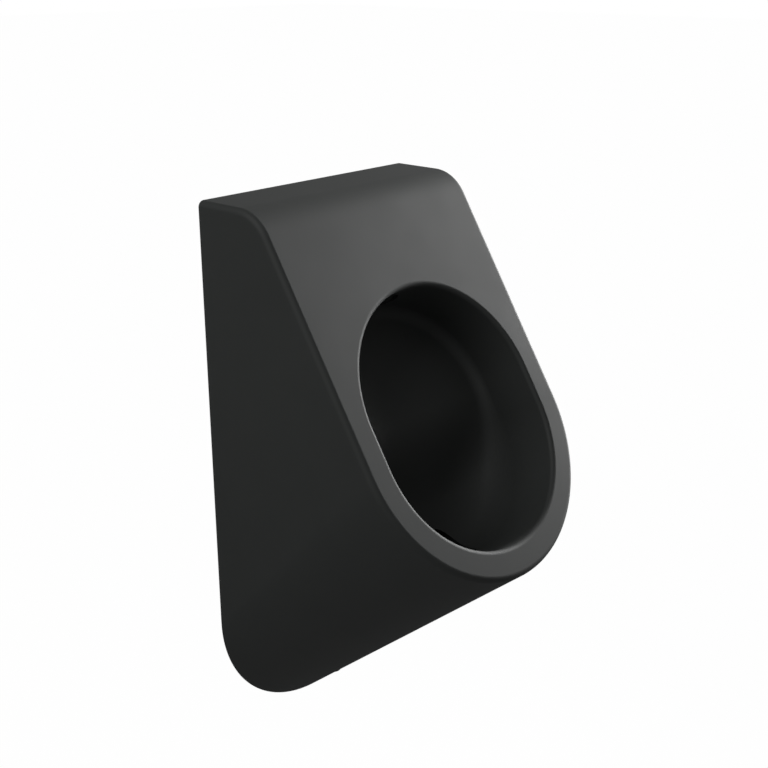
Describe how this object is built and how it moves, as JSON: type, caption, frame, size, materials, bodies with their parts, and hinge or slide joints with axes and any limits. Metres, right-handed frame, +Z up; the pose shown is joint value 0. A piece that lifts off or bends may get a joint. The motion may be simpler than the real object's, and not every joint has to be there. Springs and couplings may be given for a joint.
{
  "type": "wall hung urinal",
  "caption": "Wall hung urinal of matt dark ceramic with a slanted front, an oval bowl, a rear water inlet, a pull-out strainer and a trap hidden in its hollow back.",
  "frame": {"origin": "on the wall plane, midway between the two upper wall screws", "axes": "+X to the right as seen from the front, +Y into the wall, +Z up"},
  "size_m": [0.3, 0.3593, 0.616],
  "materials": {
    "matt_ceramic": "matt",
    "zinc_steel": "zinc plated",
    "nylon": "natural",
    "grey_nylon": "matt",
    "black_plastic": "satin",
    "white_plastic": "moulded",
    "grey_plastic": "extruded",
    "rubber": "matt",
    "brass": "turned"
  },
  "bodies": {
    "root": {"ceramic_body": "matt_ceramic", "hanging_rail": "zinc_steel", "hook_pads": "nylon", "wall_screws": "zinc_steel", "wall_washers": "zinc_steel", "wall_plugs": "grey_nylon", "lower_bracket": "zinc_steel", "lower_nut": "zinc_steel", "lower_screw": "zinc_steel", "lower_sleeve": "nylon", "lower_cap": "black_plastic", "spray_head": "black_plastic", "spray_gasket": "rubber", "shank_washer": "rubber", "shank_nut": "white_plastic", "inlet_pipe": "white_plastic", "inlet_washer": "rubber", "inlet_union_nut": "brass", "wall_nipple": "brass", "outlet_collar": "rubber", "trap_housing": "white_plastic", "dip_tube": "white_plastic", "waste_pipe": "grey_plastic", "waste_washer_ring": "rubber", "waste_union_nut": "white_plastic", "wall_sleeve": "rubber"},
    "strainer": {"outlet_strainer": "black_plastic"},
    "cup": {"trap_cup": "white_plastic", "cup_seal": "rubber"},
    "ring_nut": {"cup_ring_nut": "white_plastic"}
  },
  "joints": [
    {"name": "strainer_pull", "type": "slide", "parent": "root", "child": "strainer", "axis": [0, -1, 0], "range_m": [0, 0.04]},
    {"name": "cup_drop", "type": "slide", "parent": "root", "child": "cup", "axis": [0, 0, -1], "range_m": [0, 0.008]},
    {"name": "ring_turn", "type": "hinge", "parent": "cup", "child": "ring_nut", "pos_m": [0, -0.072, -0.375], "axis": [0, 0, -1], "range_deg": [0, 720]}
  ],
  "couplings": [
    {"joint": "ring_turn", "follows": "cup_drop", "rad_per_m": 1570.8}
  ]
}
